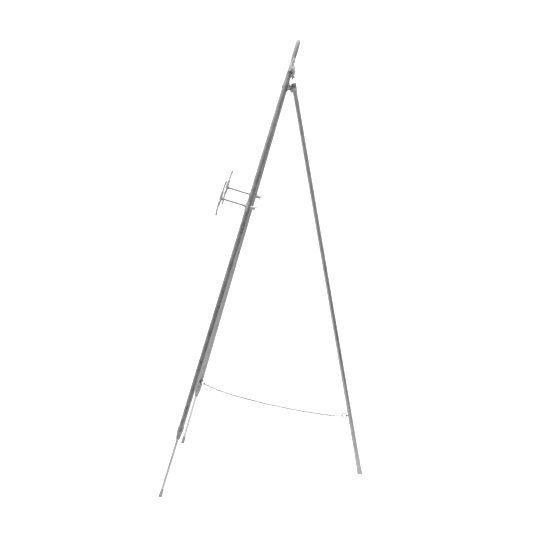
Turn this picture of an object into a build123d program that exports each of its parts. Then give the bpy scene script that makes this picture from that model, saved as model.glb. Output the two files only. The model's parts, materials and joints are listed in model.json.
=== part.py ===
"""Decorative metal tripod floor easel: a leaning front frame of two tubes with telescoping lower
rods, a hinged rear leg limited by a chain, two picture holders and a cast finial. Millimetres.

The easel faces -Y and stands on z = 0, with the origin at the middle of its footprint.
"""
from build123d import *
from math import asin, cos, degrees, pi, radians, sin, sqrt, tan
import os

# Overall size
overall_height = 1626.0
foot_spread = 620.0          # between the axes of the front legs, at the floor
frame_lean = 16.5            # of the front frame, degrees from upright
rear_lean = 9.7              # of the rear leg
leg_top_along = 1570.0       # up the front frame, to the top of its tubes
leg_top_spacing = 24.0       # between the tubes' axes up there

# Tubes and rods
tube_radius = 9.5
tube_bore = 8.4
rod_radius = 4.75
rear_radius = 8.0
rear_bore = 7.0
front_foot_radius = 6.2
rear_foot_radius = 9.2
fit_gap = 0.05               # radial, in a running fit
part_gap = 0.3               # between pieces that only pass each other

# Telescoping joint, measured along a front leg from the floor
collar_bottom = 220.0
collar_top = 268.0
tube_bottom = 242.0
rod_top = 600.0
foot_top = 30.0

# Rear hinge
hinge_along = 1519.0
hinge_behind = 17.6          # from the plane of the front tubes' axes to the hinge pin
leg_behind_pin = 15.0
pin_radius = 3.0

# Picture holders
holder_along = 1080.0
holder_reach = 98.0          # from the plane of the tubes' axes to the ornament's back
holder_radius = 3.25
ornament_half_height = 67.0

# Chain
front_ring_along = 288.0
rear_ring_height = 226.0
ring_radius = 9.6
ring_wire = 1.4
eye_radius = 3.2
eye_wire = 0.9
chain_radius = 3.2
# The hanging chain: distance from the front eye towards the rear eye, and drop below their line
chain_route = [(22, 6.5), (47, 12.5), (91, 19.5), (151, 24.5), (221, 27), (296, 27.5), (371, 26.5),
               (441, 23.5), (501, 19.5), (546, 15.5), (571, 12.5)]
chain_cuts = [3, 5, 7]       # a stretch of chain ends halfway from each of these points to the next

lean_sin, lean_cos = sin(radians(frame_lean)), cos(radians(frame_lean))
rear_sin, rear_cos = sin(radians(rear_lean)), cos(radians(rear_lean))
# From the line of the front feet: back to the hinge pin, up to it, and back to the rear foot
pin_back = hinge_along * lean_sin + hinge_behind * lean_cos
pin_up = hinge_along * lean_cos - hinge_behind * lean_sin
foot_depth = pin_back + leg_behind_pin / rear_cos + pin_up * rear_sin / rear_cos
# The feet are cut off level with the floor, so each reaches past its axis by this much
front_reach = front_foot_radius / lean_cos
rear_reach = rear_foot_radius / rear_cos
front_y = (front_reach - foot_depth - rear_reach) / 2
sides = {"left": -1, "right": 1}

# Frame plane: local x is X, local y runs up the frame, local z points out of its front
frame_plane = Plane(origin=(0, front_y, 0), x_dir=(1, 0, 0), z_dir=(0, -lean_cos, lean_sin))


def frame_point(x, along, ahead):
    return frame_plane.from_local_coords(Vector(x, along, ahead))


def leg_x(along):
    """Half the distance between the tubes' axes at a place up the frame."""
    top_half = leg_top_spacing / 2
    return top_half + (foot_spread / 2 - top_half) * (1 - along / leg_top_along)


def leg_plane(side):
    """Local z runs up a front leg from the floor, local x points ahead and local y towards +X."""
    foot = frame_point(side * leg_x(0), 0, 0)
    top = frame_point(side * leg_x(leg_top_along), leg_top_along, 0)
    return Plane(origin=foot, x_dir=frame_plane.z_dir, z_dir=top - foot)


def frame_length(along):
    """A distance up the frame, as the length along a front leg."""
    return along * leg_length / leg_top_along


leg_length = sqrt(leg_top_along**2 + (leg_x(0) - leg_x(leg_top_along)) ** 2)
splay = Vector(0, 1, 0).get_angle(Vector(leg_x(0) - leg_x(leg_top_along), leg_top_along, 0))

pin_centre = frame_point(0, hinge_along, -hinge_behind)
# Rear plane: its origin is the hinge pin, local x is X, local y points back and local z up the leg
rear_plane = Plane(origin=pin_centre, x_dir=(1, 0, 0), z_dir=(0, -rear_sin, rear_cos))
rear_axis = rear_plane * Pos(0, leg_behind_pin, 0)
rear_floor = -(pin_centre.Z + leg_behind_pin * rear_sin) / rear_cos
under_floor = Pos(0, 0, -50) * Box(2000, 2000, 100)


def turned(profile):
    """A solid of revolution about Z, from (radius, z) points."""
    return revolve(make_face(Plane.XZ * Polyline(*profile, close=True)), Axis.Z)


def pipe(outer, inner, low, high):
    return turned([(inner, low), (outer, low), (outer, high), (inner, high)])


def bar(radius, low, high):
    return Pos(0, 0, (low + high) / 2) * Cylinder(radius, high - low)


def cross_bar(radius, half_length):
    """A bar along X, about the origin."""
    return Rot(0, 90, 0) * Cylinder(radius, 2 * half_length)


def ring(radius, wire):
    return Torus(radius, wire)


def save(name, shape):
    shape.label = name
    export_step(shape, f"parts/{name}.step")


# ---------------------------------------------------------------- front legs
holder_drill = holder_radius + fit_gap
bracket_bolt_radius = 2.5
finial_screw_along = 1560.0
finial_screw_radius = 1.8
eye_shank_radius = 1.5


def drill(x, along, radius, low, high):
    """A bar square to the front frame, from low to high ahead of the tubes' axes."""
    return frame_plane * Pos(x, along, 0) * bar(radius, low, high)


def upper_tube(side):
    tube = leg_plane(side) * pipe(tube_radius, tube_bore, tube_bottom, leg_length)
    tube -= drill(side * leg_x(holder_along), holder_along, holder_drill, -20, 20)
    tube -= drill(side * leg_x(hinge_along), hinge_along, bracket_bolt_radius + fit_gap, -20, 20)
    screw_x = side * leg_x(finial_screw_along)
    tube -= drill(screw_x, finial_screw_along, finial_screw_radius + fit_gap, -20, 0)
    if side < 0:
        tube -= front_eye_plane * bar(eye_shank_radius + fit_gap, -5, 20)
    return tube


def top_plug(side):
    """A plug pushed into the tube's top, domed as part of a sphere."""
    stem, rim, dome, depth_in = tube_bore - fit_gap, 1.5, 6.0, 4.0
    sphere = (tube_radius**2 + dome**2) / (2 * dome)
    middle = rim + dome - sphere
    plug = bar(stem, -depth_in, 0.1) + bar(tube_radius, 0, rim + dome)
    plug &= bar(stem, -depth_in, 0.1) + Pos(0, 0, middle) * Sphere(sphere)
    return leg_plane(side) * Pos(0, 0, leg_length) * plug


def lock_collar(side):
    outside = turned([
        (rod_radius + part_gap, collar_bottom),
        (6.4, collar_bottom),
        (7.2, collar_bottom + 3),
        (9.6, collar_bottom + 22),
        (10.9, collar_bottom + 30),
        (10.9, collar_top - 1.5),
        (10.3, collar_top),
        (tube_radius + fit_gap, collar_top),
        (tube_radius + fit_gap, tube_bottom - part_gap),
        (8.1, tube_bottom - part_gap),
        (6.2, collar_bottom + 6),
        (rod_radius + part_gap, collar_bottom + 6),
    ])
    groove_depth = 0.7
    grooves = 18
    middle = (collar_bottom + 30 + collar_top) / 2
    cutter = Pos(11.4, 0, middle) * Cylinder(0.5 + groove_depth / 2, 13)
    for i in range(grooves):
        outside -= Rot(0, 0, 360 / grooves * i) * cutter
    return leg_plane(side) * outside


def collet(side):
    nose = collar_bottom + 7
    shape = turned([
        (rod_radius + fit_gap, nose),
        (5.9, nose),
        (7.5, tube_bottom - 1.5),
        (7.5, tube_bottom + 0.5),
        (tube_bore - fit_gap, tube_bottom + 0.5),
        (tube_bore - fit_gap, tube_bottom + 24),
        (rod_radius + fit_gap, tube_bottom + 24),
    ])
    slit = Pos(6, 0, nose + 8) * Box(12, 1.2, 18)
    for i in range(3):
        shape -= Rot(0, 0, 120 * i) * slit
    return leg_plane(side) * shape


def lower_rod(side):
    return leg_plane(side) * turned([
        (0, 8), (rod_radius, 8), (rod_radius, rod_top - 1), (rod_radius - 1, rod_top), (0, rod_top)
    ])


def rod_guide(side):
    return leg_plane(side) * pipe(tube_bore - fit_gap, rod_radius + fit_gap, rod_top - 26, rod_top - 4)


def front_foot(side):
    r = front_foot_radius
    body = turned([
        (0, -10), (r, -10), (r, foot_top - 14), (rod_radius + 0.9, foot_top - 10),
        (rod_radius + 0.9, foot_top), (rod_radius, foot_top), (rod_radius, 8), (0, 8)
    ])
    return leg_plane(side) * body - under_floor


# ---------------------------------------------------------------- rear leg
cap_top = 14.0
cap_bottom = -1.5
strap_top, strap_bottom = -3.0, -17.0
rivet_z = -10.0
rear_eye_z = (rear_ring_height - pin_centre.Z) / rear_cos


def rear_tube():
    tube = rear_axis * pipe(rear_radius, rear_bore, rear_floor + 12, cap_top - 2)
    tube -= rear_axis * Pos(0, 0, rivet_z) * cross_bar(2 + fit_gap, 12)
    return tube - rear_eye_plane * bar(eye_shank_radius + fit_gap, -3, 14)


def rear_cap():
    return rear_axis * turned([
        (0, cap_top), (rear_radius + 0.7, cap_top), (rear_radius + 1.2, cap_top - 0.8),
        (rear_radius + 1.2, cap_bottom), (rear_radius, cap_bottom), (rear_radius, cap_top - 2),
        (0, cap_top - 2)
    ])


def rear_foot():
    top = rear_floor + 62
    body = turned([
        (0, rear_floor - 10), (rear_foot_radius, rear_floor - 10), (rear_foot_radius, rear_floor + 12),
        (rear_radius + 0.8, rear_floor + 16), (rear_radius + 0.8, top - 0.6),
        (rear_radius + 0.5, top), (rear_radius, top), (rear_radius, rear_floor + 12),
        (0, rear_floor + 12)
    ])
    return rear_axis * body - under_floor


strap_inner = rear_radius + 0.05
strap_thick = 1.5


def hinge_strap():
    """A band round the rear tube, with two ears that reach forward and up to the hinge pin."""
    height = strap_top - strap_bottom
    middle = (strap_top + strap_bottom) / 2
    outer = strap_inner + strap_thick
    band = Pos(0, leg_behind_pin, 0) * pipe(outer, strap_inner, strap_bottom, strap_top)
    band -= Pos(0, leg_behind_pin - outer, middle) * Box(2 * strap_inner, 2 * outer, height + 2)
    ear_eye = 5.2
    side_view = make_face(Polyline(
        (-ear_eye, 0), (-3.7, -3.7), (2, strap_bottom), (leg_behind_pin, strap_bottom),
        (leg_behind_pin, strap_top), (7.5, strap_top), (ear_eye, 0), close=True
    )) + Circle(ear_eye)
    for side in sides.values():
        start = min(side * strap_inner, side * outer)
        band += Plane(origin=(start, 0, 0), x_dir=(0, 1, 0), z_dir=(1, 0, 0)) * extrude(
            side_view, strap_thick)
    band -= cross_bar(pin_radius + fit_gap, 20)
    band -= Pos(0, leg_behind_pin, rivet_z) * cross_bar(2 + fit_gap, 20)
    return rear_plane * band


def strap_rivet():
    outer = strap_inner + strap_thick
    head = Pos(0, 0, 0.9) * Cylinder(3.6, 1.8)
    head = fillet(head.edges().group_by(Axis.Z)[-1], 1.2)
    rivet = cross_bar(2, outer + 0.2)
    rivet += Pos(outer + fit_gap, 0, 0) * Rot(0, 90, 0) * head
    rivet += Pos(-outer - fit_gap, 0, 0) * Rot(0, -90, 0) * head
    return rear_axis * Pos(0, 0, rivet_z) * rivet


# ---------------------------------------------------------------- head
plate_front = -tube_radius - 0.1
plate_back = plate_front - 2.0
ear_inner = strap_inner + strap_thick + part_gap
ear_thick = 2.0
bolt_x = leg_x(hinge_along)


def hinge_bracket():
    """A back plate bolted to both front tubes, with two ears that hold the hinge pin."""
    half_width, half_height = bolt_x + 9.5, 15.0
    plate = Pos(0, 0, (plate_front + plate_back) / 2) * Box(
        2 * half_width, 2 * half_height, plate_front - plate_back)
    plate = fillet(plate.edges().filter_by(Axis.Z), 5)
    ear = make_face(Polyline(
        (11, plate_back + 0.5), (-11, plate_back + 0.5), (-5, -hinge_behind - 4.6),
        (5, -hinge_behind - 4.6), close=True
    )) + Pos(0, -hinge_behind) * Circle(6.8)
    for side in sides.values():
        start = min(side * ear_inner, side * (ear_inner + ear_thick))
        plate += Plane(origin=(start, 0, 0), x_dir=(0, 1, 0), z_dir=(1, 0, 0)) * extrude(
            ear, ear_thick)
    plate -= Pos(0, 0, -hinge_behind) * cross_bar(pin_radius + fit_gap, 30)
    for side in sides.values():
        plate -= Pos(side * bolt_x, 0, 0) * bar(bracket_bolt_radius + fit_gap, -20, 0)
    return frame_plane * Pos(0, hinge_along, 0) * plate


def hinge_pin():
    """A pin with a domed head at +X and a plain end at -X that takes a push-on cap."""
    end = ear_inner + ear_thick
    pin = cross_bar(pin_radius, end + 3.2)
    head = turned([(0, 0), (5.6, 0), (5.6, 1.4), (4.2, 3.1), (2, 3.8), (0, 3.8)])
    pin += Pos(end + 0.1, 0, 0) * Rot(0, 90, 0) * head
    return frame_plane * Pos(0, hinge_along, -hinge_behind) * pin


def pin_nut():
    """A push-on cap over the pin's plain end."""
    end = ear_inner + ear_thick
    nut = turned([
        (pin_radius + fit_gap, 0), (5.6, 0), (5.6, 1.6), (4.4, 3.8), (2, 4.8), (0, 4.8),
        (0, 3.4), (pin_radius + fit_gap, 3.4)
    ])
    return frame_plane * Pos(-end - 0.1, hinge_along, -hinge_behind) * Rot(0, -90, 0) * nut


def dome_head(radius, height):
    return turned([(0, 0), (radius, 0), (radius, 0.35 * height), (0.72 * radius, 0.8 * height),
                   (0.35 * radius, height), (0, height)])


def bracket_bolts():
    """One bolt through each tube, domed in front, cut to sit on the round tube."""
    solids = []
    for side in sides.values():
        bolt = drill(side * bolt_x, hinge_along, bracket_bolt_radius, plate_back - 6, tube_radius + 1)
        head = frame_plane * Pos(side * bolt_x, hinge_along, tube_radius - 0.9) * dome_head(4.8, 4.2)
        bolt += head - leg_plane(side) * bar(tube_radius + 0.02, 1400, leg_length)
        solids.append(bolt)
    return Compound(children=solids)


def bracket_nuts():
    solids = []
    for side in sides.values():
        nut = extrude(RegularPolygon(4.3, 6), 4.0) - bar(bracket_bolt_radius + fit_gap, -1, 6)
        place = frame_plane * Pos(side * bolt_x, hinge_along, plate_back - 4.05)
        solids.append(place * nut)
    return Compound(children=solids)


def profile_slab(points, half_width):
    """A closed smooth outline of (along, ahead) points, extruded to both sides of x = 0."""
    face = make_face(points)
    return Plane(origin=(-half_width, 0, 0), x_dir=(0, 1, 0), z_dir=(1, 0, 0)) * extrude(
        face, 2 * half_width)


def mirrored_face(half):
    """A face from a half outline on the right of x = 0, given from its top point to its bottom."""
    return make_face(half + mirror(half, Plane.YZ))


def finial():
    tip = overall_height / lean_cos
    half = (
        Spline((0, tip), (9, tip - 22), (13.5, tip - 42), (9, tip - 62), (5.5, tip - 74),
               tangents=[(0.4, -1), (-0.4, -1)])
        + Spline((5.5, tip - 74), (16, tip - 66), (27, tip - 70), (31, tip - 82), (23, tip - 91),
                 (12, tip - 95), tangents=[(0.6, 1), (-1, -0.6)])
        + Spline((12, tip - 95), (17, tip - 106), (23, tip - 121), (19, tip - 139), (0, tip - 150),
                 tangents=[(0.3, -1), (-1, -0.15)])
    )
    front = extrude(mirrored_face(half), 60, both=True)
    tube_top = leg_top_along + 8.3
    above, below = tip + 1, tip - 152
    lobe_front = plate_front - 0.3
    side_view = (
        Spline((above, 1.6), (tip - 35, 7.6), (tip - 78, 6.2), (tip - 96, 7.6), (tube_top, 7.8))
        + Line((tube_top, 7.8), (tube_top, lobe_front))
        + Line((tube_top, lobe_front), (below, lobe_front))
        + Line((below, lobe_front), (below, -15))
        + Spline((below, -15), (tip - 134, -21.5), (tip - 112, -19), (tip - 78, -8.4),
                 (tip - 38, -8.8), (above, -1.6))
        + Line((above, -1.6), (above, 1.6))
    )
    casting = front & profile_slab(side_view, 50)
    for side in sides.values():
        screw_x = side * leg_x(finial_screw_along)
        casting -= Pos(screw_x, finial_screw_along, 0) * bar(finial_screw_radius + 0.3, -40, 0)
    return frame_plane * casting


def finial_screws():
    solids = []
    for side in sides.values():
        x = side * leg_x(finial_screw_along)
        shank = bar(finial_screw_radius, -22.6, -5)
        head = Pos(0, 0, -22.5) * Rot(180, 0, 0) * dome_head(3.6, 2.2)
        solids.append(frame_plane * Pos(x, finial_screw_along, 0) * (shank + head))
    return Compound(children=solids)


# ---------------------------------------------------------------- picture holders
saddle_front = 15.0
washer_back = -12.2
thread_radius = 3.0


def holder_place(side):
    return frame_plane * Pos(side * leg_x(holder_along), holder_along, 0)


def leg_in_frame(side):
    """The leg's direction at the holder, as a turn in the frame's plane."""
    return Rot(0, 0, side * splay)


def saddle(side):
    """A half shell on the tube's front with a tapered boss for the holder's rod."""
    inner, outer, half_length = tube_radius + 0.05, tube_radius + 2.4, 17.0
    shell = Rot(90, 0, 0) * pipe(outer, inner, -half_length, half_length)
    shell -= Pos(0, 0, -20) * Box(60, 60, 40)
    boss = turned([(0, 8), (9.5, 8), (8.6, 11), (5.6, saddle_front), (0, saddle_front)])
    shell += boss - Rot(90, 0, 0) * Cylinder(inner, 60)
    shell = leg_in_frame(side) * shell
    return holder_place(side) * (shell - bar(holder_drill, 0, 30))


def curved_washer(side):
    """A washer behind the tube, hollowed to the tube's radius."""
    washer = bar(8.0, washer_back, -6) - leg_in_frame(side) * Rot(90, 0, 0) * Cylinder(
        tube_radius + 0.05, 60)
    return holder_place(side) * (washer - bar(holder_drill, -20, 0))


def holder_rod(side):
    """The rod that carries the picture, with a shoulder ahead of the saddle and a threaded end."""
    rod = turned([
        (0, -26), (thread_radius - 0.8, -26), (thread_radius, -25), (thread_radius, washer_back + 0.5),
        (holder_radius, washer_back + 0.7), (holder_radius, saddle_front + 0.1),
        (5.4, saddle_front + 0.1), (5.4, saddle_front + 2.6), (holder_radius, saddle_front + 3.4),
        (holder_radius, holder_reach + 5.9), (0, holder_reach + 5.9)
    ])
    return holder_place(side) * rod


def ornament(side):
    """An openwork leaf, pointed at both ends, that keeps the picture from sliding forward."""
    high = ornament_half_height
    half = (
        Spline((0, high), (3.4, 0.72 * high), (8, 0.52 * high), (19, 0.38 * high), (27, 0.12 * high),
               (22, -0.08 * high), (24, -0.3 * high), (13, -0.5 * high), (4, -0.72 * high), (0, -high),
               tangents=[(0.3, -1), (-0.3, -1)])
    )
    front = Pos(0, 0, holder_reach) * extrude(mirrored_face(half), 40, both=True)
    thick = 10.0
    end = high + 2
    side_view = (
        Spline((end, 4.5), (0.5 * high, 7.5), (0.1 * high, thick), (-0.35 * high, thick),
               (-0.7 * high, 8.5), (-end, 6))
        + Line((-end, 6), (-end, 2))
        + Spline((-end, 2), (-0.5 * high, 3.2), (0, 2.6), (0.5 * high, 2.2), (end, 0.5))
        + Line((end, 0.5), (end, 4.5))
    )
    casting = front & Pos(0, 0, holder_reach) * profile_slab(side_view, 40)
    for x, along, tall, wide in [(11.5, 11, 17, 9), (11.5, -15, 15, 8)]:
        for mirror_side in sides.values():
            hole = extrude(Ellipse(wide / 2, tall / 2), 60, both=True)
            casting -= Pos(mirror_side * x, along, holder_reach) * hole
    boss_back = holder_reach - 2.5
    casting += bar(6.5, boss_back, holder_reach + 9)
    casting -= bar(holder_radius + fit_gap, boss_back - 1, holder_reach + 6)
    return holder_place(side) * casting


def wing_nut(side):
    """A hub that bears on the curved washer, with two wings that spread back from the tube."""
    front = washer_back - 0.3
    hub = turned([
        (thread_radius + fit_gap, front), (7.0, front), (7.0, front - 1.6), (5.4, front - 8.5),
        (thread_radius + fit_gap, front - 8.5)
    ])
    wing = (
        Spline((3.9, -2.6), (8.0, -6.6), (10.6, -11.8), (12.8, -17.0))
        + ThreePointArc((12.8, -17.0), (11.0, -19.4), (8.2, -18.2))
        + Spline((8.2, -18.2), (6.6, -14.4), (4.3, -10.8), (3.9, -7.4))
        + Line((3.9, -7.4), (3.9, -2.6))
    )
    blade = Pos(0, 0, front) * extrude(Plane(origin=(0, 1.2, 0), x_dir=(1, 0, 0),
                                             z_dir=(0, -1, 0)) * make_face(wing), 2.4)
    hub += blade + Rot(0, 0, 180) * blade
    hub = hub - bar(thread_radius + fit_gap, front - 40, front + 1)
    return holder_place(side) * Rot(0, 0, 90 + wing_turn) * hub


wing_turn = 58.0

# ---------------------------------------------------------------- chain and its fittings
# Each eye's plane has its origin on a tube's axis, local z towards the loop, local y down the leg
front_eye_place = leg_plane(sides["left"]) * Pos(0, 0, frame_length(front_ring_along)) * Rot(-90, 0, 0)
front_eye_plane = Plane(front_eye_place)
rear_eye_plane = Plane(rear_axis * Pos(0, 0, rear_eye_z) * Rot(90, 0, 0))
eye_neck = 0.2


def eye_centre(plane, tube):
    """The middle of a screw eye's loop."""
    return plane.from_local_coords(Vector(0, 0, tube + eye_neck + eye_wire + eye_radius))


front_eye_centre = eye_centre(front_eye_plane, tube_radius)
rear_eye_centre = eye_centre(rear_eye_plane, rear_radius)
span = rear_eye_centre - front_eye_centre
level_span = Vector(span.X, span.Y, 0)
chain_heading = level_span.normalized()


def route_point(distance, drop):
    return front_eye_centre + span * (distance / level_span.length) - Vector(0, 0, drop)


route = [route_point(*place) for place in chain_route]
ring_offset = eye_radius + ring_radius - eye_wire - ring_wire - part_gap


def screw_eye(plane, tube):
    """A threaded shank screwed into a tube, with a closed loop square to the tube."""
    loop_centre = tube + eye_neck + eye_wire + eye_radius
    eye = bar(eye_shank_radius, tube - 4.5, loop_centre - eye_radius)
    eye += Pos(0, 0, tube + 0.25) * Cylinder(2.6, 0.5)
    eye += Pos(0, 0, loop_centre) * Rot(90, 0, 0) * ring(eye_radius, eye_wire)
    return plane * eye


def chain_plane(origin, along):
    """A plane whose local x follows the chain and whose local y stands up."""
    across = along.cross(Vector(0, 0, 1))
    return Plane(origin=origin, x_dir=along, z_dir=across)


front_pull = (route[0] - front_eye_centre).normalized()
rear_pull = (route_point(level_span.length - 22, 5) - rear_eye_centre).normalized()


def chain_ring(eye, pull):
    """A closed ring linked through an eye and pulled straight by the chain."""
    return chain_plane(eye + pull * ring_offset, pull) * ring(ring_radius, ring_wire)


def halfway(index):
    return (route[index] + route[index + 1]) * 0.5


def chain_stretches():
    """The chain's own thickness as plain tubes, one for each stretch that swings on its own."""
    starts = [0] + [cut + 1 for cut in chain_cuts]
    ends = chain_cuts + [len(route) - 1]
    tubes = []
    for start, end in zip(starts, ends):
        points = route[start:end + 1]
        if start:
            points = [halfway(start - 1)] + points
        if end < len(route) - 1:
            points = points + [halfway(end)]
        radii = []
        for before, here, after in zip(points, points[1:], points[2:]):
            shorter = min((here - before).length, (after - here).length)
            turn = (here - before).get_angle(after - here)
            radii.append(0.45 * shorter / tan(radians(turn / 2)))
        print("chain arc radii:", [round(r) for r in radii])
        path = FilletPolyline(*points, radius=radii)
        section = Plane(origin=points[0], z_dir=path % 0) * Circle(chain_radius)
        tube = sweep(section, path)
        expected = pi * chain_radius**2 * path.length
        print("chain tube volume over section times length:", round(tube.volume / expected, 4))
        tubes.append(tube)
    return tubes


hook_wire = 1.1
hook_bend = ring_wire + hook_wire + part_gap
hook_turn = 210.0


def chain_hook():
    """An S-hook, lying flat, from the chain's last link round the rear ring."""
    ring_edge = rear_eye_centre + rear_pull * (ring_offset + ring_radius)
    run = ring_edge - route[-1]
    near, far = hook_bend + hook_wire + part_gap, run.length
    slant = degrees(asin(2 * hook_bend / (far - near)))
    first = CenterArc((near, 0), hook_bend, slant - 90 - hook_turn, hook_turn)
    last = CenterArc((far, 0), hook_bend, slant + 90, -hook_turn)
    path = Wire([first, Line(first @ 1, last @ 0), last])
    section = Plane(origin=path @ 0, z_dir=path % 0) * Circle(hook_wire)
    return chain_plane(route[-1], run.normalized()) * Rot(90, 0, 0) * sweep(section, path)


# ---------------------------------------------------------------- the whole easel
def main():
    os.makedirs("parts", exist_ok=True)
    for name, side in sides.items():
        save(f"upper_tube_{name}", upper_tube(side))
        save(f"top_plug_{name}", top_plug(side))
        save(f"lock_collar_{name}", lock_collar(side))
        save(f"collet_{name}", collet(side))
        save(f"lower_rod_{name}", lower_rod(side))
        save(f"rod_guide_{name}", rod_guide(side))
        save(f"front_foot_{name}", front_foot(side))
        save(f"saddle_{name}", saddle(side))
        save(f"curved_washer_{name}", curved_washer(side))
        save(f"holder_rod_{name}", holder_rod(side))
        save(f"ornament_{name}", ornament(side))
        save(f"wing_nut_{name}", wing_nut(side))
    for build in (rear_tube, rear_cap, rear_foot, hinge_strap, strap_rivet, hinge_bracket, hinge_pin,
                  pin_nut, bracket_bolts, bracket_nuts, finial, finial_screws, chain_hook):
        save(build.__name__, build())
    save("front_eye", screw_eye(front_eye_plane, tube_radius))
    save("rear_eye", screw_eye(rear_eye_plane, rear_radius))
    save("front_ring", chain_ring(front_eye_centre, front_pull))
    save("rear_ring", chain_ring(rear_eye_centre, rear_pull))
    for number, tube in enumerate(chain_stretches(), 1):
        save(f"chain_stretch_{number}", tube)


main()
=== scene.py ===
"""Looks for the tripod floor easel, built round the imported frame.

Sizes are millimetres in the frames of the pieces that they belong to; MM turns them into metres.
"""
import json
from math import asin, atan2, cos, exp, pi, radians, sin, sqrt

import bmesh
import bpy
from mathutils import Matrix, Quaternion, Vector


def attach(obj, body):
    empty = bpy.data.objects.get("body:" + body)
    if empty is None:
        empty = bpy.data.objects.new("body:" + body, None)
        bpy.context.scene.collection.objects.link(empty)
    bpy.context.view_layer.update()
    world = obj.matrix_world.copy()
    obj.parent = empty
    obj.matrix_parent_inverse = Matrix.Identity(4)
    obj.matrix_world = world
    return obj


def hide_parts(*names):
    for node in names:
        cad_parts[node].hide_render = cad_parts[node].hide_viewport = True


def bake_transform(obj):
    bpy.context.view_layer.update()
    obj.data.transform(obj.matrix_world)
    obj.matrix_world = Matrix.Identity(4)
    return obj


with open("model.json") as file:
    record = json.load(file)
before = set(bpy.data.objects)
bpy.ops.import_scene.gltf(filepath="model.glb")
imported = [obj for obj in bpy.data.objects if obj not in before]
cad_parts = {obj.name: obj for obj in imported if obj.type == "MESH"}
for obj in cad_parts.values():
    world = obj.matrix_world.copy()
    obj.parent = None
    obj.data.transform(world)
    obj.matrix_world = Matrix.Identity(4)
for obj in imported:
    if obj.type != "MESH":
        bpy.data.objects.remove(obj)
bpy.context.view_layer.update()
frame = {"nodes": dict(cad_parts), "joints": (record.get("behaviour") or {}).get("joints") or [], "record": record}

MM = 0.001
SIDES = ("left", "right")
joints = {joint["name"]: joint for joint in frame["joints"]}
mounts = {mount["name"]: Vector(mount["pos_m"]) for mount in frame["record"]["mounts"]}
nodes = frame["nodes"]


# ---------------------------------------------------------------- places
def place(origin, x_axis, z_axis):
    """The matrix of a local frame given in millimetres."""
    z = z_axis.normalized()
    x = (x_axis - z * x_axis.dot(z)).normalized()
    turn = Matrix((x, z.cross(x), z)).transposed().to_4x4()
    return Matrix.Translation(origin) @ turn @ Matrix.Scale(MM, 4)


AHEAD = Vector(joints["holder_swivel_left"]["axis"])
X_AXIS = Vector((1, 0, 0))
Z_AXIS = Vector((0, 0, 1))


def leg_place(side):
    """Local z runs up a front leg from the floor, local x points ahead and local y towards +X."""
    return place(mounts[f"front_foot_{side}_base"], AHEAD, Vector(joints[f"collar_twist_{side}"]["axis"]))


def holder_place(side):
    """Local x is X, local y runs up the front frame and local z along the holder's rod."""
    return place(Vector(joints[f"holder_swivel_{side}"]["pos_m"]), X_AXIS, AHEAD)


LEG_BEHIND_PIN = 15.0
pin = Vector(joints["rear_leg_fold"]["pos_m"])
from_foot = pin - mounts["rear_foot_base"]
rear_lean = atan2(-from_foot.y, from_foot.z) - asin(LEG_BEHIND_PIN * MM / from_foot.length)
rear_up = Vector((0, -sin(rear_lean), cos(rear_lean)))
rear_back = Vector((0, cos(rear_lean), sin(rear_lean)))
# On the rear tube's axis, level with the pin: local z runs up the leg, local y points back
rear_place = place(pin + rear_back * LEG_BEHIND_PIN * MM, X_AXIS, rear_up)
rear_floor = -from_foot.dot(rear_up) / MM


# ---------------------------------------------------------------- mesh tools
OBLIQUE = Vector((0.31, 0.53, 0.79))      # along none of the swept lines
ON_AXIS = 1e-6
NEARLY_STRAIGHT = radians(172)


def eased(points, radius, steps=4):
    """A closed profile with each corner rounded."""
    result = []
    count = len(points)
    for i in range(count):
        here = Vector(points[i])
        before = Vector(points[i - 1]) - here
        after = Vector(points[(i + 1) % count]) - here
        turn = before.angle(after)
        if turn > NEARLY_STRAIGHT or here.x < ON_AXIS:
            result.append(tuple(here))
            continue
        cut = min(radius, 0.45 * before.length, 0.45 * after.length)
        start = here + before.normalized() * cut
        end = here + after.normalized() * cut
        for step in range(steps + 1):
            t = step / steps
            point = start * (1 - t) ** 2 + here * 2 * t * (1 - t) + end * t * t
            result.append(tuple(point))
    return result


def lathe(profile, around=72, wobble=None):
    """Vertices, faces and UVs of a (radius, z) profile turned about z; a loop unless it meets the axis."""
    verts, faces, uvs = [], [], []
    on_axis = profile[0][0] < ON_AXIS and profile[-1][0] < ON_AXIS
    rows = []
    lengths = [0.0]
    for a, b in zip(profile, profile[1:]):
        lengths.append(lengths[-1] + (Vector(b) - Vector(a)).length)
    for (r, z), along in zip(profile, lengths):
        if r < ON_AXIS:
            rows.append([len(verts)] * around)
            verts.append(Vector((0, 0, z)))
            continue
        rows.append(list(range(len(verts), len(verts) + around)))
        for k in range(around):
            angle = 2 * pi * k / around
            radius = r if wobble is None else wobble(r, angle)
            verts.append(Vector((radius * cos(angle), radius * sin(angle), z)))
    pairs = list(range(len(rows) - 1)) if on_axis else list(range(len(rows)))
    for i in pairs:
        low, high = rows[i], rows[(i + 1) % len(rows)]
        for k in range(around):
            nxt = (k + 1) % around
            corners = [low[k], low[nxt], high[nxt], high[k]]
            v0, v1 = lengths[i], lengths[(i + 1) % len(rows)] if i + 1 < len(rows) else lengths[i]
            coords = [(k, v0), (k + 1, v0), (k + 1, v1), (k, v1)]
            face, uv = [], []
            for corner, (cu, cv) in zip(corners, coords):
                if corner not in face:
                    face.append(corner)
                    uv.append((cu / around, cv * MM))
            faces.append(face)
            uvs.append(uv)
    return verts, faces, uvs


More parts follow.
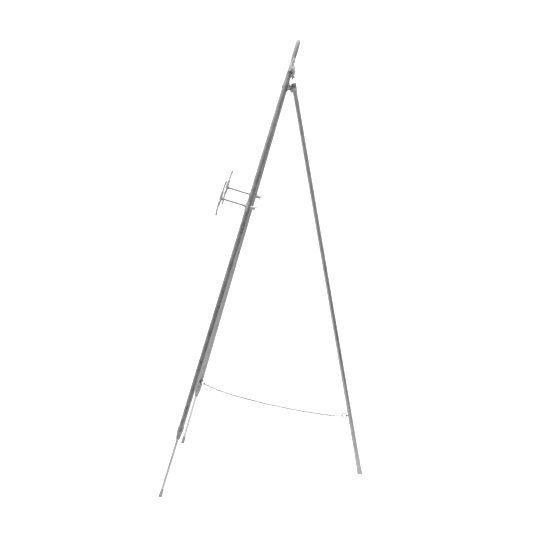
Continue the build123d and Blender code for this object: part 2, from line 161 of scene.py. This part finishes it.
def swept(points, radii, around=16, closed=False):
    """Vertices and faces of a round section that follows points."""
    count = len(points)
    tangents = []
    for i in range(count):
        if closed:
            tangents.append((points[(i + 1) % count] - points[i - 1]).normalized())
        else:
            tangents.append((points[min(i + 1, count - 1)] - points[max(i - 1, 0)]).normalized())
    side = tangents[0].cross(OBLIQUE).normalized()
    verts, faces = [], []
    for i, point in enumerate(points):
        tangent = tangents[i]
        side = (side - tangent * side.dot(tangent)).normalized()
        other = tangent.cross(side)
        radius = radii if isinstance(radii, (int, float)) else radii[i]
        for k in range(around):
            angle = 2 * pi * k / around
            verts.append(point + (side * cos(angle) + other * sin(angle)) * radius)
    loops = count if closed else count - 1
    for i in range(loops):
        for k in range(around):
            a, b = i * around, ((i + 1) % count) * around
            nxt = (k + 1) % around
            faces.append([a + k, a + nxt, b + nxt, b + k])
    if not closed:
        faces.append(list(range(around))[::-1])
        faces.append(list(range((count - 1) * around, count * around)))
    return verts, faces


THINNEST, RIB_WIDTH = 0.35, 0.16             # a leaf's least half width; its rib's width as a share
FRONT_SHARE, BACK_SHARE = 0.62, 0.38         # of a leaf's thickness


def leaf(spine, half_widths, thickness, ridge=0.8, vein=0.0, veins=9, across=14):
    """A closed leaf along spine points, with its front towards +z.

    The front is domed, with a raised rib and side veins; the back is flatter.
    """
    count = len(spine)
    verts, faces = [], []
    ring = 2 * across
    for i, point in enumerate(spine):
        along = i / (count - 1)
        tangent = (spine[min(i + 1, count - 1)] - spine[max(i - 1, 0)]).normalized()
        out = (Z_AXIS - tangent * Z_AXIS.dot(tangent)).normalized()
        side = tangent.cross(out)
        wide = max(half_widths[i], THINNEST)
        deep = thickness[i] if isinstance(thickness, list) else thickness
        for k in range(ring):
            angle = 2 * pi * k / ring
            v = cos(angle)
            lift = sin(angle) * deep * (FRONT_SHARE if sin(angle) > 0 else BACK_SHARE)
            if sin(angle) > 0:
                lift += ridge * exp(-((v / RIB_WIDTH) ** 2))
                groove = cos(2 * pi * (along * veins - abs(v) * 0.9))
                lift += vein * groove * abs(v) ** 0.5 * sqrt(max(0.0, 1 - v * v))
            verts.append(point + side * v * wide + out * lift)
    for i in range(count - 1):
        for k in range(ring):
            nxt = (k + 1) % ring
            a, b = i * ring, (i + 1) * ring
            faces.append([a + k, a + nxt, b + nxt, b + k])
    faces.append(list(range(ring))[::-1])
    faces.append(list(range((count - 1) * ring, count * ring)))
    return verts, faces


def curve_points(controls, count):
    """Points evenly spaced by parameter on a smooth curve through the controls."""
    controls = [Vector(c) for c in controls]
    padded = [controls[0] * 2 - controls[1]] + controls + [controls[-1] * 2 - controls[-2]]
    spans = len(controls) - 1
    result = []
    for i in range(count):
        position = i / (count - 1) * spans
        span = min(int(position), spans - 1)
        t = position - span
        p0, p1, p2, p3 = padded[span:span + 4]
        result.append(0.5 * (p1 * 2 + (p2 - p0) * t + (p0 * 2 - p1 * 5 + p2 * 4 - p3) * t * t
                             + (p1 * 3 - p0 - p2 * 3 + p3) * t ** 3))
    return result


def profile_values(stops, count):
    """Values at even steps, smoothly between (position, value) stops."""
    points = curve_points([(p, v, 0) for p, v in stops], 40 * len(stops))
    values = []
    for i in range(count):
        x = i / (count - 1)
        nearest = min(range(len(points)), key=lambda k: abs(points[k].x - x))
        values.append(points[nearest].y)
    return values


def merged(parts):
    """Several (verts, faces) as one."""
    verts, faces = [], []
    for part_verts, part_faces in parts:
        start = len(verts)
        verts += part_verts
        faces += [[start + i for i in face] for face in part_faces]
    return verts, faces


def mirrored(part):
    """A copy on the other side of local x = 0."""
    verts, faces = part
    return [Vector((-v.x, v.y, v.z)) for v in verts], [face[::-1] for face in faces]


def make_mesh(name, verts, faces, matrix, uvs=None, sharp_angle=38):
    """A mesh object in the row frame at the origin, smooth except at sharp edges."""
    mesh = bpy.data.meshes.new(name)
    mesh.from_pydata([matrix @ v for v in verts], [], faces)
    if uvs is not None:
        layer = mesh.uv_layers.new(name="along")
        flat = [coord for face in uvs for uv in face for coord in uv]
        layer.data.foreach_set("uv", flat)
    piece = bpy.data.objects.new(name, mesh)
    bpy.context.scene.collection.objects.link(piece)
    soften(mesh, sharp_angle)
    return piece


def soften(mesh, sharp_angle):
    """Smooth shading with consistent normals, and sharp edges where faces turn by more than an angle."""
    work = bmesh.new()
    work.from_mesh(mesh)
    bmesh.ops.recalc_face_normals(work, faces=work.faces)
    for face in work.faces:
        face.smooth = True
    for edge in work.edges:
        if len(edge.link_faces) == 2:
            edge.smooth = edge.calc_face_angle(0.0) < radians(sharp_angle)
    work.to_mesh(mesh)
    work.free()


def apply_modifiers(piece):
    """The piece's own mesh becomes what its modifiers make of it."""
    depsgraph = bpy.context.evaluated_depsgraph_get()
    final = bpy.data.meshes.new_from_object(piece.evaluated_get(depsgraph))
    piece.modifiers.clear()
    piece.data = final


def cast(piece, voxel, smoothing):
    """Melts overlapping solids into one casting."""
    remesh = piece.modifiers.new("melt", "REMESH")
    remesh.mode = "VOXEL"
    remesh.voxel_size = voxel * MM
    smooth = piece.modifiers.new("smooth", "SMOOTH")
    smooth.factor = 0.5
    smooth.iterations = smoothing
    apply_modifiers(piece)
    soften(piece.data, 180)


def finish_piece(piece, body, slot, material, *replaced):
    """Gives a piece its body and finish, and hides the CAD nodes that it stands for."""
    piece.data.materials.clear()
    piece.data.materials.append(material)
    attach(piece, body)
    if replaced:
        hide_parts(*replaced)
    return piece


def turned_piece(name, profile, matrix, body, slot, material, *replaced, around=72, sharp=38):
    """A piece turned from a (radius, z) profile."""
    verts, faces, uvs = lathe(profile, around)
    piece = make_mesh(name, verts, faces, matrix, uvs, sharp)
    return finish_piece(piece, body, slot, material, *replaced)


# ---------------------------------------------------------------- materials
class Nodes:
    """A material's node tree, with short calls for what the finishes share."""

    def __init__(self, name):
        self.material = bpy.data.materials.new(name)
        self.material.use_nodes = True
        self.tree = self.material.node_tree
        self.shader = self.tree.nodes["Principled BSDF"]

    def add(self, kind, **values):
        node = self.tree.nodes.new(kind)
        for key, value in values.items():
            setattr(node, key, value)
        return node

    def link(self, source, target):
        self.tree.links.new(source, target)

    def coordinates(self, output, scale):
        """Texture coordinates, stretched by a scale for each axis."""
        source = self.add("ShaderNodeTexCoord")
        mapping = self.add("ShaderNodeMapping")
        mapping.inputs["Scale"].default_value = scale
        self.link(source.outputs[output], mapping.inputs["Vector"])
        return mapping.outputs["Vector"]

    def noise(self, coordinates, scale, detail=4.0, roughness=0.55, distortion=0.0):
        node = self.add("ShaderNodeTexNoise")
        node.inputs["Scale"].default_value = scale
        node.inputs["Detail"].default_value = detail
        node.inputs["Roughness"].default_value = roughness
        node.inputs["Distortion"].default_value = distortion
        self.link(coordinates, node.inputs["Vector"])
        return node.outputs["Fac"]

    def between(self, value, low, high, low_out, high_out):
        node = self.add("ShaderNodeMapRange")
        node.inputs["From Min"].default_value = low
        node.inputs["From Max"].default_value = high
        node.inputs["To Min"].default_value = low_out
        node.inputs["To Max"].default_value = high_out
        self.link(value, node.inputs["Value"])
        return node.outputs["Result"]

    def maths(self, operation, a, b):
        node = self.add("ShaderNodeMath", operation=operation)
        for socket, value in zip(node.inputs, (a, b)):
            if isinstance(value, (int, float)):
                socket.default_value = value
            else:
                self.link(value, socket)
        return node.outputs["Value"]

    def mix(self, factor, low, high):
        node = self.add("ShaderNodeMix", data_type="RGBA")
        self.link(factor, node.inputs["Factor"])
        for socket, value in ((node.inputs["A"], low), (node.inputs["B"], high)):
            if isinstance(value, tuple):
                socket.default_value = (*value, 1.0)
            else:
                self.link(value, socket)
        return node.outputs["Result"]

    def bump(self, height, strength, distance):
        node = self.add("ShaderNodeBump")
        node.inputs["Strength"].default_value = strength
        node.inputs["Distance"].default_value = distance
        self.link(height, node.inputs["Height"])
        self.link(node.outputs["Normal"], self.shader.inputs["Normal"])


def grey(value):
    return (value, value, value)


def plated(name, light, dark, smooth, rough, patch=45.0, streaks=False, fine=900.0, dent=0.00012):
    """Plated metal: cloudy patches of tone and polish, fine marks, and streaks along a turned piece."""
    m = Nodes(name)
    where = m.coordinates("Object", (1, 1, 1))
    patches = m.noise(where, patch, detail=5, roughness=0.6, distortion=0.6)
    specks = m.noise(where, fine, detail=3)
    tone = m.between(patches, 0.34, 0.66, 0.0, 1.0)
    if streaks:
        along = m.coordinates("UV", (26.0, 9.0, 1.0))
        lines = m.noise(along, 6.0, detail=6, roughness=0.65)
        tone = m.maths("ADD", m.maths("MULTIPLY", tone, 0.55),
                       m.between(lines, 0.35, 0.65, 0.0, 0.45))
    colour = m.mix(tone, dark, light)
    speck_mask = m.between(specks, 0.66, 0.74, 0.0, 0.55)
    colour = m.mix(speck_mask, colour, tuple(0.45 * c for c in dark))
    m.link(colour, m.shader.inputs["Base Color"])
    m.link(m.between(m.maths("ADD", patches, m.maths("MULTIPLY", specks, 0.35)),
                     0.5, 0.85, smooth, rough), m.shader.inputs["Roughness"])
    m.shader.inputs["Metallic"].default_value = 1.0
    height = m.maths("ADD", m.maths("MULTIPLY", specks, 0.35), patches)
    m.bump(height, 0.35, dent)
    return m.material


def moulded(name, light, dark, roughness, grain=1400.0, specular=0.4):
    """Moulded plastic or rubber with a fine grain."""
    m = Nodes(name)
    where = m.coordinates("Object", (1, 1, 1))
    grains = m.noise(where, grain, detail=2)
    clouds = m.noise(where, 60.0, detail=4)
    m.link(m.mix(m.between(clouds, 0.3, 0.7, 0.0, 1.0), dark, light), m.shader.inputs["Base Color"])
    m.link(m.between(clouds, 0.3, 0.7, roughness - 0.08, roughness + 0.08),
           m.shader.inputs["Roughness"])
    m.shader.inputs["Specular IOR Level"].default_value = specular
    m.bump(grains, 0.25, 0.00008)
    return m.material


tube_metal = plated("tube_metal", grey(0.42), grey(0.26), 0.26, 0.40, patch=38.0, streaks=True)
rear_metal = plated("rear_metal", grey(0.51), grey(0.34), 0.28, 0.42, patch=38.0, streaks=True)
rod_metal = plated("rod_metal", grey(0.68), grey(0.52), 0.26, 0.40, patch=55.0, streaks=True)
threaded_metal = plated("threaded_metal", grey(0.42), grey(0.32), 0.58, 0.72, patch=55.0)
collar_metal = plated("collar_metal", grey(0.43), grey(0.27), 0.28, 0.42, patch=80.0)
fitting_metal = plated("fitting_metal", grey(0.40), grey(0.22), 0.28, 0.44, patch=120.0)
light_metal = plated("light_metal", grey(0.60), grey(0.40), 0.34, 0.48, patch=120.0)
casting_metal = plated("casting_metal", grey(0.60), grey(0.40), 0.44, 0.58, patch=95.0, dent=0.00025)
leaf_metal = plated("leaf_metal", grey(0.62), grey(0.44), 0.54, 0.68, patch=95.0, dent=0.0002)
dark_metal = plated("dark_metal", grey(0.07), grey(0.03), 0.44, 0.58, patch=120.0)
chain_metal = plated("chain_metal", grey(0.15), grey(0.08), 0.38, 0.52, patch=220.0)
nylon = moulded("nylon", grey(0.72), grey(0.64), 0.45)
black_plastic = moulded("black_plastic", grey(0.14), grey(0.09), 0.42)
foot_rubber = moulded("foot_rubber", grey(0.26), grey(0.18), 0.60)
tip_plastic = moulded("tip_plastic", grey(0.36), grey(0.27), 0.48)

FINISHES = {
    "tube": tube_metal, "bright_rod": rod_metal, "collar": collar_metal, "nylon": nylon,
    "plug": black_plastic, "foot": foot_rubber, "rear_tip": tip_plastic, "fitting": fitting_metal,
    "fitting_light": light_metal, "casting": casting_metal, "chain": chain_metal,
}
for row in frame["record"]["subparts"]:
    mesh = nodes[row["node"]].data
    mesh.materials.clear()
    mesh.materials.append(FINISHES[row["material_slot"]])
OWN_FINISHES = {
    # The hinge bracket takes the lighter fitting finish as painted light: the lighter colour offsets the shadow it
    # sits in.
    "hinge_bracket": light_metal, "front_eye": dark_metal, "rear_eye": dark_metal, "front_ring": dark_metal,
    "rear_ring": dark_metal, "hinge_strap": light_metal, "strap_rivet": light_metal,
    "holder_rod_left": threaded_metal, "holder_rod_right": threaded_metal,
}
for name, finish in OWN_FINISHES.items():
    nodes[name].data.materials[0] = finish


# ---------------------------------------------------------------- tubes and rods
TUBE_RADIUS, TUBE_BORE, ROD_RADIUS = 9.5, 8.4, 4.75
LEG_LENGTH, TUBE_BOTTOM = 1598.0, 242.0
ROD_BOTTOM, ROD_TOP = 8.0, 600.0
for side in SIDES:
    leg = leg_place(side)
    tube = eased([(TUBE_BORE, TUBE_BOTTOM), (TUBE_RADIUS, TUBE_BOTTOM),
                  (TUBE_RADIUS, LEG_LENGTH), (TUBE_BORE, LEG_LENGTH)], 0.35)
    turned_piece(f"front_tube_{side}", tube, leg, "frame", "tube", tube_metal, f"upper_tube_{side}")
    rod = eased([(0, ROD_BOTTOM), (ROD_RADIUS, ROD_BOTTOM), (ROD_RADIUS, ROD_TOP), (0, ROD_TOP)], 0.8)
    turned_piece(f"sliding_rod_{side}", rod, leg, f"lower_leg_{side}", "bright_rod", rod_metal,
                 f"lower_rod_{side}", around=48)

REAR_RADIUS, REAR_BORE = 8.0, 7.0
REAR_TOP = 12.0                      # above the pin, and as far above the floor at its foot
rear_bottom = rear_floor + REAR_TOP
rear = eased([(REAR_BORE, rear_bottom), (REAR_RADIUS, rear_bottom),
              (REAR_RADIUS, REAR_TOP), (REAR_BORE, REAR_TOP)], 0.3)
turned_piece("rear_leg_tube", rear, rear_place, "rear_leg", "tube", rear_metal, "rear_tube")


# ---------------------------------------------------------------- chain
EYE_CENTRE_GAP = 0.2 + 0.9 + 3.2      # neck, wire and loop radius of a screw eye
CHAIN_ROUTE = [(22, 6.5), (47, 12.5), (91, 19.5), (151, 24.5), (221, 27), (296, 27.5), (371, 26.5),
               (441, 23.5), (501, 19.5), (546, 15.5), (571, 12.5)]
FRONT_EYE_ALONG = 293.14              # up the left leg
REAR_EYE_HEIGHT = 226.0
front_eye = leg_place("left") @ Vector((0, TUBE_RADIUS + EYE_CENTRE_GAP, FRONT_EYE_ALONG))
rear_eye_along = (REAR_EYE_HEIGHT * MM - pin.z) / cos(rear_lean) / MM
rear_eye = rear_place @ Vector((0, -(REAR_RADIUS + EYE_CENTRE_GAP), rear_eye_along))
span = rear_eye - front_eye
level = sqrt(span.x ** 2 + span.y ** 2)
heading = Vector((span.x, span.y, 0)).normalized()


def route_point(distance, drop):
    """Level distance from the front eye, and drop below the straight line between the eyes."""
    return front_eye + span * (distance * MM / level) - Vector((0, 0, drop * MM))


def smooth_line(name, points, resolution):
    """Points read from a NURBS spline with the given control points."""
    curve = bpy.data.curves.new(name, "CURVE")
    curve.dimensions = "3D"
    spline = curve.splines.new("NURBS")
    spline.points.add(len(points) - 1)
    for spot, point in zip(spline.points, points):
        spot.co = (*point, 1.0)
    spline.order_u = 3
    spline.use_endpoint_u = True
    spline.resolution_u = resolution
    holder = bpy.data.objects.new(name, curve)
    bpy.context.scene.collection.objects.link(holder)
    bpy.context.view_layer.update()
    line = bpy.data.meshes.new_from_object(holder.evaluated_get(bpy.context.evaluated_depsgraph_get()))
    result = [v.co.copy() for v in line.vertices]
    bpy.data.objects.remove(holder)
    bpy.data.meshes.remove(line)
    return result


LINK_WIRE, LINK_PITCH = 1.0, 8.1                # wire's radius; about how far apart the links are
LINK_HALF_WIDTH, LINK_LENGTH = 2.5, 9.9         # of the wire's centreline
RING_LINK_HALF_WIDTH, RING_LINK_LENGTH = 3.4, 12.2
# Where the links begin by the front ring and end in the S-hook, as (distance, drop)
LINKS_START, LINKS_END = (16.3, 4.8), (574.3, 12.1)
CHAIN_CUT = 333.5                               # from the front eye to where the two halves part


def link_loop(centre, along, across, length=LINK_LENGTH, half_width=LINK_HALF_WIDTH):
    """The centreline of an oval link."""
    points = []
    straight = length / 2 - half_width
    for half in (1, -1):
        for step in range(9):
            angle = half * (-pi / 2 + pi * step / 8) if half == 1 else pi / 2 + pi * step / 8
            x = half * straight + half_width * cos(angle)
            y = half_width * sin(angle)
            points.append(centre + (along * x + across * y) * MM)
    return points


def chain_links():
    """Every link of the chain as (distance from the front eye, verts, faces)."""
    controls = [route_point(*spot) for spot in CHAIN_ROUTE]
    first = route_point(*LINKS_START)
    last = route_point(*LINKS_END)
    line = smooth_line("chain_line", [first] + controls + [last], 24)
    lengths = [0.0]
    for a, b in zip(line, line[1:]):
        lengths.append(lengths[-1] + (b - a).length)
    total = lengths[-1] / MM
    count = round((total - LINK_LENGTH) / LINK_PITCH / 2) * 2
    pitch = (total - LINK_LENGTH) / (count - 1)

    def at(distance):
        goal = min(max(distance * MM, 0.0), lengths[-1])
        k = next(i for i in range(len(lengths) - 1) if lengths[i + 1] >= goal - 1e-12)
        t = (goal - lengths[k]) / (lengths[k + 1] - lengths[k])
        return line[k].lerp(line[k + 1], t)

    links = []
    for i in range(count):
        middle = LINK_LENGTH / 2 + i * pitch
        a, b = at(middle - 3.0), at(middle + 3.0)
        along = (b - a).normalized()
        sideways = along.cross(Z_AXIS).normalized()
        upright = sideways.cross(along)
        roll = radians(8 * sin(i * 1.7) + 5 * sin(i * 0.6))
        across = sideways if i % 2 == 0 else upright
        across = Quaternion(along, roll if 2 < i < count - 3 else 0.0) @ across
        if i == 0:      # larger, so that it turns freely round the ring
            centre = at(middle) - along * (RING_LINK_LENGTH - LINK_LENGTH) / 2 * MM
            loop = link_loop(centre, along, across, RING_LINK_LENGTH, RING_LINK_HALF_WIDTH)
        else:
            loop = link_loop(at(middle), along, across)
        verts, faces = swept(loop, LINK_WIRE * MM, around=10, closed=True)
        links.append((middle + LINKS_START[0], verts, faces))
    print("chain:", count, "links, pitch", round(pitch, 3), "mm, length", round(total, 1), "mm")
    return links


def chain_half(name, links, body, other, swing, direction, *replaced):
    """Links joined into one mesh in the chain's finish; the CAD nodes that it stands for are hidden."""
    verts, faces = merged(links)
    chain = make_mesh(name, verts, faces, Matrix.Identity(4), sharp_angle=180)
    chain.data.materials.append(chain_metal)
    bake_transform(chain)
    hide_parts(*replaced)


links = chain_links()
front_links = [(verts, faces) for distance, verts, faces in links if distance < CHAIN_CUT]
rear_links = [(verts, faces) for distance, verts, faces in links if distance >= CHAIN_CUT]
chain_half("chain_front", front_links, "chain_1", "chain_2", "chain_swing_2", heading,
           "chain_stretch_1", "chain_stretch_2")
chain_half("chain_rear", rear_links, "chain_4", "chain_3", "chain_swing_3", -heading,
           "chain_stretch_3", "chain_stretch_4")


# ---------------------------------------------------------------- castings
def strand(controls, radii, count=48, around=14):
    """A rod of cast metal along a smooth curve, whose radius runs smoothly through the given values."""
    points = curve_points(controls, count)
    sizes = profile_values([(i / (len(radii) - 1), r) for i, r in enumerate(radii)], count)
    return swept(points, sizes, around=around)


def blade(controls, widths, thickness, count=60, **detail):
    """A leaf along a smooth curve, whose half width runs smoothly through the given values."""
    points = curve_points(controls, count)
    halves = profile_values([(i / (len(widths) - 1), w) for i, w in enumerate(widths)], count)
    return leaf(points, halves, thickness, **detail)


def rosette(radius, height, petals, base):
    """A domed button with a scalloped rim."""
    def scallop(r, angle):
        return r * (1 + 0.07 * cos(petals * angle) * (r / radius) ** 2)

    profile = [(0, base), (radius, base), (radius, base + 0.35 * height),
               (0.82 * radius, base + 0.72 * height), (0.55 * radius, base + 0.80 * height),
               (0.45 * radius, base + height), (0, base + 1.12 * height)]
    verts, faces, _ = lathe(eased(profile, 0.6), 60, scallop)
    return verts, faces


HOLDER_REACH = 98.0


def ornament_parts():
    """An openwork leaf: a spear above, a tail below, and scrolls that arch forward round the boss."""
    z = HOLDER_REACH
    boss, faces, _ = lathe(eased([(0, z - 2.4), (6.4, z - 2.4), (5.8, z + 5.0), (0, z + 5.0)], 0.6), 48)
    parts = [
        (boss, faces),
        blade([(0, 20, z + 5.0), (0, 36, z + 4.8), (0, 52, z + 3.9), (0, 66.6, z + 2.5)],
              [3.4, 6.8, 5.8, 3.8, 1.8], 6.2, ridge=0.7, vein=0.4, veins=7),
        blade([(0, -24, z + 6.0), (0, -36, z + 6.3), (0, -52, z + 5.8), (0, -66.6, z + 4.2)],
              [3.0, 6.0, 5.2, 3.6, 1.8], 6.4, ridge=0.7, vein=0.4, veins=7),
        strand([(0, 26, z + 4.8), (0, 10, z + 4.6), (0, -6, z + 4.6), (0, -26, z + 5.8)],
               [3.4, 3.1, 3.1, 3.4]),
        rosette(6.2, 4.0, 8, z + 4.4),
    ]
    halves = [
        strand([(0.8, 34, z + 5.2), (7, 30.5, z + 6.2), (16, 24, z + 6.9), (22.6, 12, z + 7.2),
                (20.6, 0.5, z + 7.0), (13.0, -3.0, z + 6.8), (8.8, 2.8, z + 6.7), (11.6, 8.6, z + 6.8),
                (15.0, 6.8, z + 7.1)], [2.1, 2.8, 3.2, 3.2, 3.0, 2.7, 2.4, 2.1, 2.6], 72),
        strand([(0.8, -34, z + 6.2), (6, -32, z + 6.6), (14, -28, z + 7.0), (20.4, -19.5, z + 7.2),
                (18.8, -10.5, z + 7.2), (12.4, -9.8, z + 7.2), (10.0, -15.2, z + 7.0),
                (13.2, -18.6, z + 7.0), (15.4, -16.4, z + 7.1)],
               [2.1, 2.7, 3.1, 3.1, 2.8, 2.5, 2.2, 2.0, 2.4], 72),
        blade([(19, 20, z + 7.0), (23, 27, z + 6.4), (25.4, 35, z + 5.2)], [1.8, 3.4, 2.5, 0.8], 3.0,
              count=30, ridge=0.5),
        blade([(18, -25, z + 7.0), (22, -31, z + 6.4), (23.4, -38.5, z + 5.4)], [1.8, 3.2, 2.3, 0.8], 2.9,
              count=30, ridge=0.5),
        strand([(2, 4.5, z + 5), (6, 8, z + 6.2), (9.5, 10.5, z + 7.0)], [2.2, 1.9, 1.8], 20),
        strand([(2, -5, z + 5), (6, -10, z + 6.2), (10.2, -14, z + 7.0)], [2.2, 1.9, 1.8], 20),
    ]
    for half in halves:
        parts += [half, mirrored(half)]
    return merged(parts)


# Up the front frame from the floor, except LOBE_FRONT, which is how far behind its plane
TIP = 1695.8
DOME_TOP = 1577.6               # of the plugs in the tubes
LOBE_FRONT = -9.9


def finial_parts():
    """A tall spear leaf on a banded waist, two side scrolls, and a palmette behind the tubes."""
    def down(x, below, z):
        return (x, TIP - below, z)

    deep = profile_values([(0, 4.6), (0.04, 10.5), (0.14, 15.0), (0.4, 17.0), (0.66, 17.0), (0.86, 15.6),
                           (1.0, 15.0)], 120)
    cup = profile_values([(0, 15.0), (0.3, 17.0), (0.6, 19.6), (1.0, 20.4)], 60)
    spear = blade([down(0, 0.1, -0.8), down(0, 14, -1.3), down(0, 34, -1.7), down(0, 54, -1.7),
                   down(0, 70, -1.5), down(0, 82, -1.3)],
                  [2.0, 7.4, 11.8, 12.6, 9.0, 6.8, 6.0], deep,
                  count=120, ridge=0.7, vein=0.55, veins=12, across=20)
    parts = [
        spear,
        band(TIP - 77.0, 6.8, 7.4, -1.3), band(TIP - 83.0, 8.2, 8.2, -1.3),
        blade([down(0, 78, -1.0), down(0, 90, -2.0), down(0, 104, -3.4), down(0, 116.6, -4.4)],
              [6.4, 8.4, 12.8, 17.0, 19.4, 20.0], cup, count=60, ridge=0.0, across=20),
        strand([down(0, 100, -5.0), down(0, 108, -7.0), down(0, 118, -12.0), down(0, 124, -14.0)],
               [8.0, 8.4, 7.0, 4.6], 50),
        strand([down(0, 108, -13.0), down(0, 122, -15.2), down(0, 136, -16.0), down(0, 149, -16.2)],
               [5.4, 5.0, 3.9, 1.6], 50),
    ]
    lobes = [
        [(1.0, 97, -5.5), (6.5, 111, -10.5), (9.4, 127, -15.6), (10.6, 145, -16.6)],
        [(1.5, 96, -5.0), (10.2, 107, -8.5), (15.6, 120, -15.0), (18.2, 136, -16.2)],
        [(2.0, 94, -4.4), (11.0, 100.5, -6.5), (17.8, 109, -12.4), (21.4, 121, -15.4)],
    ]
    halves = [strand([down(*spot) for spot in lobe], [4.2, 5.2, 5.0, 3.7, 1.8], 56) for lobe in lobes]
    halves += [
        strand([down(2.5, 84, -3.0), down(9, 75, -2.6), down(17.5, 69.8, -2.0),
                down(26.4, 73.4, -1.8), down(28.4, 82.4, -2.0), down(22.4, 88.6, -2.4),
                down(16.4, 84.6, -2.6), down(18.6, 78.6, -2.6), down(22.4, 80.0, -2.4)],
               [3.4, 3.0, 3.1, 3.0, 2.7, 2.4, 2.1, 1.9, 2.4], 100),
        strand([down(3, 90, -4.0), down(10, 92.5, -5.2), down(16.4, 91.4, -4.6), down(20.4, 88.2, -3.4)],
               [3.2, 2.8, 2.3, 1.6], 40),
        blade([down(4, 74, -2.0), down(8.6, 66.5, -1.6), down(12.6, 58.6, -0.8)], [1.6, 3.0, 2.2, 0.4], 3.4,
              count=30, ridge=0.6),
    ]
    for half in halves:
        parts += [half, mirrored(half)]
    return parts


def band(along, across, deep, z):
    """A bead round the waist."""
    points = []
    for k in range(28):
        angle = 2 * pi * k / 28
        points.append(Vector(((across - 1.2) * cos(angle), along, z + (deep - 1.2) * sin(angle))))
    return swept(points, 1.9, around=12, closed=True)


def finial_piece():
    verts, faces = merged(finial_parts())
    front_plane = place((mounts["front_foot_left_base"] + mounts["front_foot_right_base"]) / 2, X_AXIS, AHEAD)
    # The palmette lies against the backs of the tubes
    for v in verts:
        if v.y < DOME_TOP + 0.6:
            v.z = min(v.z, LOBE_FRONT)
    finial = make_mesh("cast_finial", verts, faces, front_plane)
    cast(finial, 0.55, 3)
    finish_piece(finial, "frame", "casting", casting_metal, "finial")


finial_piece()
for side in SIDES:
    verts, faces = ornament_parts()
    casting = make_mesh(f"leaf_ornament_{side}", verts, faces, holder_place(side))
    cast(casting, 0.5, 3)
    finish_piece(casting, f"holder_{side}", "casting", leaf_metal, f"ornament_{side}")


# ---------------------------------------------------------------- stage, light and camera
def level_square(name, half, height):
    """A flat square round the origin."""
    corners = [(-half, -half, height), (half, -half, height), (half, half, height), (-half, half, height)]
    mesh = bpy.data.meshes.new(name)
    mesh.from_pydata(corners, [], [(0, 1, 2, 3)])
    square = bpy.data.objects.new(name, mesh)
    bpy.context.scene.collection.objects.link(square)
    return square


def stage_floor():
    floor = level_square("floor", 30.0, 0.0)
    material = bpy.data.materials.new("floor_white")
    material.use_nodes = True
    shader = material.node_tree.nodes["Principled BSDF"]
    shader.inputs["Base Color"].default_value = (0.94, 0.94, 0.94, 1)
    shader.inputs["Roughness"].default_value = 0.9
    shader.inputs["Specular IOR Level"].default_value = 0.1
    floor.data.materials.append(material)


def grey_card():
    """The studio's dark floor on the +X side of a white sweep, seen only in the metal."""
    card = level_square("grey_card", 12.0, 0.004)
    m = Nodes("card_grey")
    where = m.add("ShaderNodeTexCoord")
    split = m.add("ShaderNodeSeparateXYZ")
    m.link(where.outputs["Object"], split.inputs["Vector"])
    across = m.maths("ADD", m.maths("MULTIPLY", split.outputs["X"], 0.78),
                     m.maths("MULTIPLY", split.outputs["Y"], 0.62))
    fade = m.between(across, 0.4, 1.5, 0.46, 1.0)
    m.link(m.mix(fade, grey(0.94), grey(0.12)), m.shader.inputs["Base Color"])
    m.shader.inputs["Roughness"].default_value = 1.0
    card.data.materials.append(m.material)
    card.visible_camera = card.visible_diffuse = card.visible_shadow = False


def soft_sun(name, direction, strength, spread):
    """An even light from far away; spread is the angle that it fills."""
    data = bpy.data.lights.new(name, "SUN")
    data.energy = strength
    data.angle = radians(spread)
    lamp = bpy.data.objects.new(name, data)
    lamp.rotation_euler = Vector(direction).to_track_quat("-Z", "Y").to_euler()
    lamp.visible_glossy = False
    bpy.context.scene.collection.objects.link(lamp)


def studio_world(dim, beside, above):
    """A surround that is bright above and dimmest near the horizon on the +X side."""
    world = bpy.data.worlds.new("studio")
    world.use_nodes = True
    tree = world.node_tree
    where = tree.nodes.new("ShaderNodeTexCoord")
    split = tree.nodes.new("ShaderNodeSeparateXYZ")
    lift = tree.nodes.new("ShaderNodeMapRange")
    lift.interpolation_type = "SMOOTHSTEP"
    for socket, value in (("From Min", 0.0), ("From Max", 0.8), ("To Min", dim), ("To Max", dim + above)):
        lift.inputs[socket].default_value = value
    tree.links.new(where.outputs["Generated"], split.inputs["Vector"])
    tree.links.new(split.outputs["Z"], lift.inputs["Value"])
    sides = tree.nodes.new("ShaderNodeMapRange")
    sides.interpolation_type = "SMOOTHSTEP"
    for socket, value in (("From Min", -0.1), ("From Max", 0.8), ("To Min", beside), ("To Max", 0.0)):
        sides.inputs[socket].default_value = value
    total = tree.nodes.new("ShaderNodeMath")
    tree.links.new(split.outputs["X"], sides.inputs["Value"])
    tree.links.new(lift.outputs["Result"], total.inputs[0])
    tree.links.new(sides.outputs["Result"], total.inputs[1])
    tree.links.new(total.outputs["Value"], tree.nodes["Background"].inputs["Color"])
    bpy.context.scene.world = world


def photo_camera():
    """The camera stands on the +X side, a little above, and looks along -X."""
    data = bpy.data.cameras.new("camera")
    data.lens = 124.55
    data.sensor_width = 36.0
    data.shift_x = -0.024
    data.shift_y = -0.003
    camera = bpy.data.objects.new("camera", data)
    camera.location = (6.7768, 0.6148, 2.3798)
    yaw, pitch = 0.0781, 0.2329
    look = Vector((-cos(pitch) * cos(yaw), -cos(pitch) * sin(yaw), -sin(pitch)))
    camera.rotation_euler = look.to_track_quat("-Z", "Y").to_euler()
    bpy.context.scene.collection.objects.link(camera)
    bpy.context.scene.camera = camera


stage_floor()
grey_card()
soft_sun("key", (-0.55, 0.75, -1.0), 0.9, 30)
studio_world(0.18, 0.5, 1.35)
photo_camera()
bpy.context.scene.view_settings.view_transform = "Standard"
